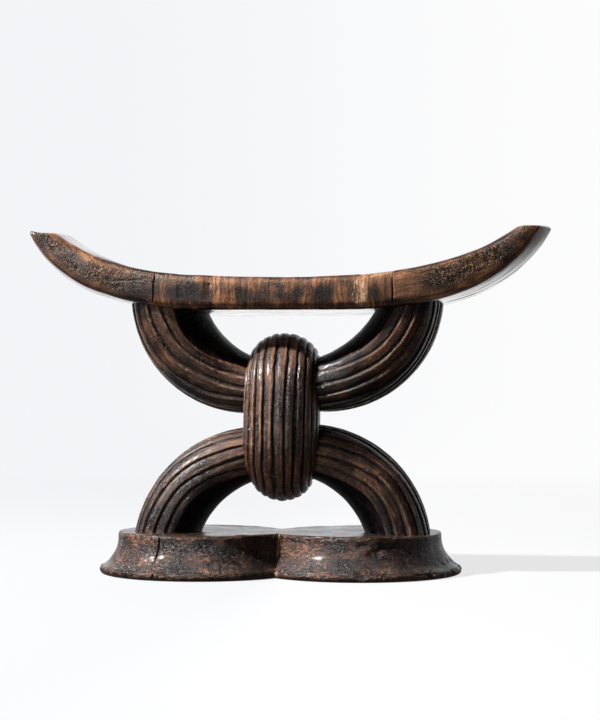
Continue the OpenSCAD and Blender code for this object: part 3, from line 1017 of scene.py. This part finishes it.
@dataclass
class Band:
    """The tall reeded band that wraps the crossing front, top, back and bottom."""

    top: float = REST_UNDERSIDE - 7.3
    bottom: float = PLINTH_HEIGHT + 10.5
    width: float = 27.2
    depth_share: float = 0.8
    cheek: float = 10.5
    lean: float = 1.5
    reeds: int = 11
    groove: float = 1.15
    spokes: int = 330
    rings: int = 236
    insets: int = 6

    def build(self, finish: bpy.types.Material) -> bpy.types.Object:
        """Carves the band and dresses it."""
        carving = Carving.begin(Log("binding_band_carved", self.spokes, self.rings, self.insets))
        height = self.top - self.bottom
        depth = height * self.depth_share
        straight = (height - depth) / 2
        core = depth / 2 - self.cheek
        # Across the band: from one cheek over the front to the other, along the fan of the reeds.
        fan = carving.run / (self.rings - 1) * 180.0 - 90.0
        fan_r = np.radians(fan)
        walk = carving.turn / self.spokes * 2 * math.pi
        here = np.stack([fan / 8.0, np.sin(walk) * 30.0, np.cos(walk) * 30.0], 1)
        phase = (fan + 90.0) / 180.0 * self.reeds
        sway = 0.17 * drift(here, (2.0, 22.0, 22.0), 51) + 0.05 * drift(here, (2.0, 6.0, 6.0), 52)
        phase = phase + sway * np.cos(fan_r)
        place = phase - np.floor(phase)
        vee = spot(np.minimum(place, 1 - place), 0.0, 0.12)
        crown = 1 - np.abs(2 * place - 1) ** 2.4
        strength = self.groove * (0.9 + 0.3 * drift(here, (2.5, 25.0, 25.0), 53))
        strength = strength * (1 - 0.45 * ease(0.55, 0.95, np.abs(np.cos(walk))))
        cut = strength * (0.5 * vee + 0.5 * (1 - crown)) * ease(0.0, 0.35, phase)
        cut = cut * ease(self.reeds, self.reeds - 0.35, phase)
        x = (self.width / 2 - cut * np.abs(np.sin(fan_r))) * np.sin(fan_r)
        out = core + (self.cheek - cut) * np.cos(fan_r)
        out = out * carving.reach
        lift = np.cos(walk)
        x = x * (1 - 0.055 * ease(0.5, 1.0, -lift) - 0.13 * ease(0.5, 1.0, lift))
        behind = ease(0.05, 0.35, -np.sin(walk))
        x = x - np.sign(x) * (1.0 * behind + 0.8 * (1 - carving.reach))
        # Round the stadium of the side view: two half circles joined by the straight stretch.
        c, s = np.cos(walk), np.sin(walk)
        up = np.sign(-c) * straight * carving.reach * np.minimum(1.0, np.abs(c) * 6.0)
        y = -out * s
        z = -out * c + up
        a = math.radians(self.lean)
        co = np.stack([x * math.cos(a) + z * math.sin(a), y, -x * math.sin(a) + z * math.cos(a)], 1)
        co = co + np.array([-KNOT_SHIFT, 0.0, (self.top + self.bottom) / 2])
        carving.place(co)
        carving.face_outward()
        self._work(carving, co, here, fan, walk, 1 - vee, place)
        return carving.done("band_wood", "binding_band", finish)

    def _work(self, carving: Carving, co: Field, here: Field, fan: Field, walk: Field, ridge: Field,
              place: Field) -> None:
        """Leaves pits, worn places, painted light and painted glints on the band, and writes them
        for the finish.

        Args:
            carving: the band in its place.
            co: places of the even shape.
            here: places spread out over the band, for unevenness that follows the reeds.
            fan: degrees across the band, from one cheek to the other.
            walk: radians round the band.
            ridge: 1 on the reeds and 0 in the grooves.
            place: place across each reed.
        """
        grit = drift(co, (9.0, 20.0, 12.0), 60) + 0.35 * spot(co[:, 2], 68.0, 16.0)
        rough = ridge * ease(-0.45, 0.35, grit)
        depth = 0.05 * drift(co, 7.0, 61) + 0.06 * drift(co, 2.0, 62)
        depth = depth + rough * (0.04 + 0.10 * drift(co, 1.2, 63, 2))
        carving.pare(depth)
        carving.mark_flow(walk * 27.0, fan / 180.0 * 34.0, np.zeros_like(fan))
        carving.mark("rough", 0.5 * rough)
        low_side = 0.45 * ease(0.55, 0.15, place) * ease(30, 50, co[:, 2])
        patch = 0.5 * ease(0.1, -0.4, drift(co, 10.0, 65, 2))
        carving.mark("stain_and_shade", most(0.97 * (1 - ridge) ** 0.8, patch, low_side))
        line = 0.3 + 0.7 * ease(-0.5, 0.4, drift(here, (1.2, 14.0, 14.0), 64, 2))
        line = line * spot(place, 0.70, 0.10)
        broad = 0.25 * ease(-0.2, 0.5, drift(here, (3.0, 18.0, 18.0), 66, 2))
        # The lower part of the band's reeds is painted paler as painted light from the floor below.
        foot = 0.5 * ease(52, 32, co[:, 2]) * ease(0.05, 0.3, place)
        carving.mark("wear_and_painted_light", most(0.95 * line, broad, foot) * ridge)
        # Pale glints are painted on the crest lines in the rough places as painted highlight,
        # carried with the scrapes.
        glint = ease(0.35, 0.7, drift(co, (0.9, 0.9, 1.4), 67)) * rough
        carving.mark("scrapes_and_glints", line * np.maximum(0.45, 0.6 * glint) * ridge)
        carving.mark("dull", 0.5 * (1 - ridge))
        carving.mark("polish", np.zeros_like(fan))


# ---- The plinth ------------------------------------------------------------------------


@dataclass
class Plinth:
    """The foot of two round lobes, hollowed below its top and flared to a rounded lip."""

    height: float = PLINTH_HEIGHT
    lobe: float = 30.4
    offset: float = 28.3
    flare: float = 7.2
    cove: float = 13.4
    lip: float = 1.6
    top_edge: float = 1.4
    split: float = -40.2
    spokes: int = 860
    insets: int = 26

    def _profile(self) -> tuple[Field, Field]:
        """Radius and height of a lobe's side, from the floor to the top."""
        lip = np.array([self.lobe + self.flare - self.lip, self.lip])
        run, fall = self.lobe - lip[0], self.cove - self.lip
        radius = (run * run + fall * fall - self.lip**2) / (2 * (self.lip - run))
        hollow = np.array([self.lobe + radius, self.cove])
        edge = np.array([self.lobe - self.top_edge, self.height - self.top_edge])
        touch = math.atan2(hollow[1] - lip[1], hollow[0] - lip[0])
        parts = []
        for middle, r, a, b, count in (
            (lip, self.lip, -math.pi / 2, touch, 14),
            (hollow, radius, touch + math.pi, math.pi, 34),
            (edge, self.top_edge, 0.0, math.pi / 2, 12),
        ):
            angle = np.linspace(a, b, count)
            parts.append(middle + r * np.stack([np.cos(angle), np.sin(angle)], 1))
        points = np.concatenate(parts)
        return points[:, 0], points[:, 1]

    def build(self, finish: bpy.types.Material) -> bpy.types.Object:
        """Carves the plinth and dresses it."""
        radius, level = self._profile()
        carving = Carving.begin(
            Log("plinth_carved", self.spokes, len(radius), self.insets, Axis.HEIGHT))
        angle = self._fan(self.spokes)[carving.turn.astype(int)]
        r = radius[carving.run.astype(int)]
        z = level[carving.run.astype(int)]
        c, s = np.cos(angle), np.sin(angle)
        reach = self.offset * np.abs(c) + np.sqrt(np.maximum(r * r - (self.offset * s) ** 2, 0.01))
        reach = reach * carving.reach
        co = np.stack([reach * c, reach * s, z], 1)
        carving.place(co - np.array([KNOT_SHIFT + PLINTH_SHIFT, 0.0, 0.0]))
        carving.face_outward()
        self._work(carving, co)
        return carving.done("plinth_wood", "plinth", finish)

    @staticmethod
    def _fan(spokes: int) -> Field:
        """Directions of the spokes, closer together at the split and at both notches."""
        x = spread(spokes + 1, [(-0.5, 0.01, 1.5), (0.5, 0.01, 1.5), (0.208, 0.02, 5.0)])
        return x[:-1] * math.pi + math.pi

    def _work(self, carving: Carving, co: Field) -> None:
        """Leaves the marks of hand and age, painted shade and painted highlight on the plinth, and
        writes them for the finish.
        """
        x, y, z = co.T
        n = carving.normals()
        side = ease(0.75, 0.4, np.abs(n[:, 2]))
        top = ease(0.6, 0.95, n[:, 2])
        low = ease(6.0, 1.0, z)
        depth = 0.02 + 0.28 * drift(co, (16.0, 16.0, 12.0), 71)
        depth += 0.12 * drift(co, (6.0, 6.0, 5.0), 72)
        depth += 0.05 * drift(co, 2.4, 73)
        depth += top * (0.35 + 0.35 * drift(co, (13.0, 9.0, 9.0), 74))
        waver = self.split - 0.12 * (self.height - z) + 0.2 * np.sin(z * 0.7)
        split = spot(x, waver, 0.2) * side * (y < 0)
        depth += 0.9 * split
        dents = ease(0.35, 0.75, drift(co, (5.0, 8.0, 3.0), 75)) * side
        dents *= ease(8, 24, x) * ease(60, 50, x)
        depth += 0.5 * dents
        chips = ease(0.05, 0.55, drift(co, (2.6, 2.6, 3.0), 76, 2))
        chips *= ease(46, 56, x) * ease(7.5, 2.5, z) * (y < 8)
        depth += 0.8 * chips
        crumble = ease(0.2, 0.6, drift(co, (3.0, 3.0, 2.2), 77)) * ease(3.2, 0.8, z) * side
        depth += 0.35 * crumble
        grounded = ease(0.0, 0.6, z)
        carving.pare(depth * (0.15 + 0.85 * grounded) * np.where(n[:, 2] < -0.8, 0.0, 1.0))
        crease = spot(x, 0.1, 0.55) * side
        # Split, chips, crumbled foot and blotches low down are darkened by stain, and the left
        # lobe's flank beside the notch is painted darker as painted shade.
        carving.mark("stain_and_shade", most(
            0.95 * split, 0.8 * chips * ease(0.0, 0.5, drift(co, 2.0, 78)), 0.55 * crumble,
            0.6 * low * ease(0.0, 0.6, drift(co, (9.0, 9.0, 3.0), 79)),
            0.45 * spot(x, -7.0, 6.0) * side))
        # The top rim and the bulge of the lower lip are painted paler, partly wear and partly
        # painted highlight.
        rim = spot(z, 14.6, 0.8) * side + 0.7 * spot(z, 1.8, 1.3) * side
        tawny = 0.5 * ease(-0.1, 0.6, drift(co, (14.0, 14.0, 5.0), 80, 2)) * side
        carving.mark("wear_and_painted_light", most(0.6 * rim, tawny, 0.9 * crease))
        carving.mark("rough", np.maximum(0.6 * low * side * ease(10, 40, x), 0.35 * top))
        broken = 0.6 * chips * ease(0.2, 0.7, drift(co, 1.6, 81))
        carving.mark("scrapes_and_glints", np.maximum(0.8 * crease, broken))
        carving.mark("dull", 0.8 * split)
        carving.mark("polish", 0.4 * top)
        carving.mark_flow(x, y, z)


# ---- Studio ----------------------------------------------------------------------------


@dataclass(frozen=True)
class Softbox:
    """A square softbox: where it stands, what it is turned to, its width and its power."""

    name: str
    place: Triple
    aim: Triple
    size: float
    power: float

    def hang(self) -> None:
        """Adds the light and turns it to the place that it lights."""
        data = bpy.data.lights.new(self.name, "AREA")
        data.shape = "SQUARE"
        data.size = self.size
        data.energy = self.power
        lamp = bpy.data.objects.new(self.name, data)
        bpy.context.scene.collection.objects.link(lamp)
        lamp.location = self.place
        way = np.array(self.aim) - np.array(self.place)
        flat = math.hypot(way[0], way[1])
        lamp.rotation_euler = (math.atan2(flat, -way[2]), 0.0, math.atan2(-way[0], way[1]))


@dataclass
class Studio:
    """A pale floor, soft lights and the camera."""

    backdrop_left: Triple = (0.90, 0.905, 0.93)
    backdrop_right: Triple = (0.975, 0.975, 0.98)
    near_glow: float = 0.885
    floor_shadow: float = 0.11
    front_floor: float = 0.13
    back_floor: float = 1.08
    dark_side: float = 0.012
    overhead: float = 0.6
    front_edge: float = 0.03
    back_edge: float = 0.30
    distance: float = 0.624
    azimuth: float = 3.5
    aside: float = 0.0044
    eye: float = 0.0634
    tilt: float = 1.26
    lens: float = 85.5

    def floor(self) -> None:
        """A pale floor that fades into the backdrop far from the object."""
        bpy.ops.object.select_all(action="DESELECT")
        bpy.ops.mesh.primitive_circle_add(vertices=96, radius=6.0, fill_type="NGON")
        floor = bpy.context.object
        floor.name = "studio_floor"
        material = bpy.data.materials.new("pale_floor")
        g = Graph.blank(material)
        place = g.add("ShaderNodeTexCoord").outputs["Object"]
        length = g.vector("LENGTH", place)
        way = g.vector("NORMALIZE", place)
        matte = g.add("ShaderNodeBsdfDiffuse")
        matte.inputs["Color"].default_value = (0.86, 0.86, 0.875, 1.0)
        glow = g.add("ShaderNodeEmission")
        g.join(self._backdrop(g, way.outputs[0]), glow.inputs["Color"])
        away = length.outputs["Value"]
        g.join(g.between(away, 0.1, 0.9, self.near_glow, 1.0), glow.inputs["Strength"])
        seen = g.add("ShaderNodeMixShader")
        g.join(g.between(away, 0.1, 0.9, 1.0 - self.floor_shadow, 1.0), seen.inputs[0])
        g.join(matte.outputs[0], seen.inputs[1])
        g.join(glow.outputs[0], seen.inputs[2])
        # What the wood sees of the floor: bright behind it, dim on the camera's side.
        lit = g.add("ShaderNodeEmission")
        back = g.between(g.parts(place)["Y"], self.front_edge, self.back_edge, self.front_floor,
                         self.back_floor)
        g.join(back, lit.inputs["Strength"])
        blend = g.add("ShaderNodeMixShader")
        g.join(g.add("ShaderNodeLightPath").outputs["Is Camera Ray"], blend.inputs[0])
        g.join(lit.outputs[0], blend.inputs[1])
        g.join(seen.outputs[0], blend.inputs[2])
        g.join(blend.outputs[0], g.add("ShaderNodeOutputMaterial").inputs["Surface"])
        floor.data.materials.append(material)

    def _backdrop(self, g: Graph, way: bpy.types.NodeSocket) -> bpy.types.NodeSocket:
        """The backdrop's colour, which brightens from left to right."""
        share = g.between(g.parts(way)["X"], -0.20, 0.12)
        return g.mixed(share, (*self.backdrop_left, 1.0), (*self.backdrop_right, 1.0))

    def world(self) -> None:
        """White surroundings behind the object that are dark on the camera's side."""
        world = bpy.data.worlds.new("studio")
        bpy.context.scene.world = world
        g = Graph.blank(world)
        way = g.add("ShaderNodeTexCoord").outputs["Generated"]
        parts = g.parts(way)
        back = g.between(parts["Y"], 0.1, 0.85, self.dark_side, 1.0)
        above = g.between(parts["Z"], 0.1, 0.8, 1.0, self.overhead)
        light = g.times(back, above)
        seen = g.add("ShaderNodeLightPath").outputs["Is Camera Ray"]
        around = g.add("ShaderNodeBackground")
        g.join((0.96, 0.97, 1.0, 1.0), around.inputs["Color"])
        g.join(light, around.inputs["Strength"])
        shown = g.add("ShaderNodeBackground")
        g.join(self._backdrop(g, way), shown.inputs["Color"])
        blend = g.add("ShaderNodeMixShader")
        g.join(seen, blend.inputs[0])
        g.join(around.outputs[0], blend.inputs[1])
        g.join(shown.outputs[0], blend.inputs[2])
        g.join(blend.outputs[0], g.add("ShaderNodeOutputWorld").inputs["Surface"])

    def lights(self) -> None:
        """A small key softbox high on the left, a wide fill at the left front and a low bounce."""
        for box in (
            Softbox("key", (-1.05, -0.43, 1.12), (0.0, 0.0, 0.06), 0.09, 82.0),
            Softbox("fill", (-0.62, -1.0, 0.38), (0.0, 0.0, 0.06), 0.45, 2.2),
            Softbox("bounce", (-0.35, -0.75, 0.03), (0.0, 0.0, 0.045), 0.25, 1.3),
        ):
            box.hang()

    def camera(self) -> None:
        """The camera, level with the gap between the arches."""
        a = math.radians(self.azimuth)
        data = bpy.data.cameras.new("camera")
        data.lens = self.lens
        data.sensor_width = 36.0
        data.clip_start = 0.01
        data.clip_end = 20.0
        camera = bpy.data.objects.new("camera", data)
        bpy.context.scene.collection.objects.link(camera)
        camera.location = (
            self.distance * math.sin(a) + self.aside * math.cos(a),
            -self.distance * math.cos(a) + self.aside * math.sin(a),
            self.eye,
        )
        camera.rotation_euler = (math.radians(90.0 + self.tilt), 0.0, a)
        bpy.context.scene.camera = camera

    def set_up(self) -> None:
        """Sets up the whole studio."""
        self.world()
        self.floor()
        self.lights()
        self.camera()
        bpy.context.scene.view_settings.view_transform = "Standard"


# ---- The whole -------------------------------------------------------------------------


def finishes() -> dict[str, bpy.types.Material]:
    """The four wood finishes, by the slot that they dress."""
    figure, pitting = grain_group(), pitting_group()
    woods = {
        "rest": WoodFinish(
            "rest_wood",
            deep=(0.006, 0.0030, 0.0026), stain=(0.030, 0.0120, 0.0062),
            brown=(0.105, 0.041, 0.017), worn=(0.38, 0.168, 0.070), pale=(0.50, 0.32, 0.19),
            streaks=(0.50, 0.10, 0.030), lines=(0.5, 0.5, 0.10), line_depth=0.30, crackle=0.40,
            roughness=0.42, coat=0.04, bump=1.0, glint=0.24, shares=(0.20, 0.52, 0.28)),
        "arm": WoodFinish(
            "arm_wood",
            deep=(0.0022, 0.0014, 0.0018), stain=(0.010, 0.0050, 0.0048),
            brown=(0.046, 0.018, 0.011), worn=(0.27, 0.115, 0.055), pale=(0.42, 0.27, 0.18),
            streaks=(0.045, 0.5, 0.5), lines=(0.08, 0.9, 0.9), line_depth=0.5, crackle=0.45,
            roughness=0.33, coat=0.08, bump=1.0, glint=0.33),
        "band": WoodFinish(
            "band_wood",
            deep=(0.0025, 0.0016, 0.002), stain=(0.016, 0.0070, 0.0058),
            brown=(0.060, 0.023, 0.013), worn=(0.34, 0.130, 0.060), pale=(0.44, 0.25, 0.15),
            streaks=(0.06, 0.6, 0.6), lines=(0.10, 0.9, 0.9), line_depth=0.45, crackle=0.70,
            roughness=0.29, coat=0.20, bump=1.1),
        "plinth": WoodFinish(
            "plinth_wood",
            deep=(0.005, 0.003, 0.003), stain=(0.028, 0.0110, 0.0070),
            brown=(0.105, 0.041, 0.021), worn=(0.28, 0.122, 0.062), pale=(0.5, 0.36, 0.26),
            streaks=(0.07, 0.3, 0.30), lines=(0.070, 0.070, 0.15), line_depth=0.85, crackle=0.8,
            roughness=0.34, coat=0.05, bump=1.3, glint=0.30, line_count=12.0),
    }
    return {slot: wood.make(figure, pitting) for slot, wood in woods.items()}


def arms() -> list[Arm]:
    """The four arms, sized as their arches meet the rest and the plinth; no two are quite alike."""
    rest, plinth = HeadRest(), Plinth()
    reach, seat, margin, foot_margin = 56.3, 26.0, 1.2, 5.7
    taper = (rest.end_depth - rest.middle_depth) * (reach / rest.half) ** 3
    seat_depth = rest.middle_depth + taper - margin
    seat_height = float(rest.underside(np.array(reach - seat / 2)))
    foot = plinth.offset + plinth.lobe - foot_margin
    upper = {"arch": Arch.UPPER, "reach": reach, "seat_depth": seat_depth, "crown": 14.2,
             "seat_height": seat_height}
    lower = {"arch": Arch.LOWER, "seat_width": 24.0, "seat_depth": 32.0, "crown": 8.5,
             "seat_height": PLINTH_HEIGHT}
    return [
        Arm("upper_left_arm", right=False, seed=101, seat_width=seat, worn=0.15, **upper),
        # The upper right arm's low worn value darkens it as painted shade.
        Arm("upper_right_arm", right=True, seed=132, seat_width=23.6, gap=6.0, worn=-0.4,
            matte=0.7, **upper),
        Arm("lower_left_arm", right=False, seed=163, reach=foot + 0.8, worn=0.2, **lower),
        Arm("lower_right_arm", right=True, seed=194, reach=foot + 0.2, gap=3.0, worn=-0.1, **lower),
    ]


def main() -> None:
    """Builds the headrest piece by piece and sets up the studio."""
    logging.basicConfig(level=logging.INFO, format="%(message)s")
    Studio().set_up()
    wood = finishes()
    HeadRest().build(wood["rest"])
    for arm in arms():
        arm.build(wood["arm"])
    Band().build(wood["band"])
    Plinth().build(wood["plinth"])


if __name__ == "__main__":
    main()
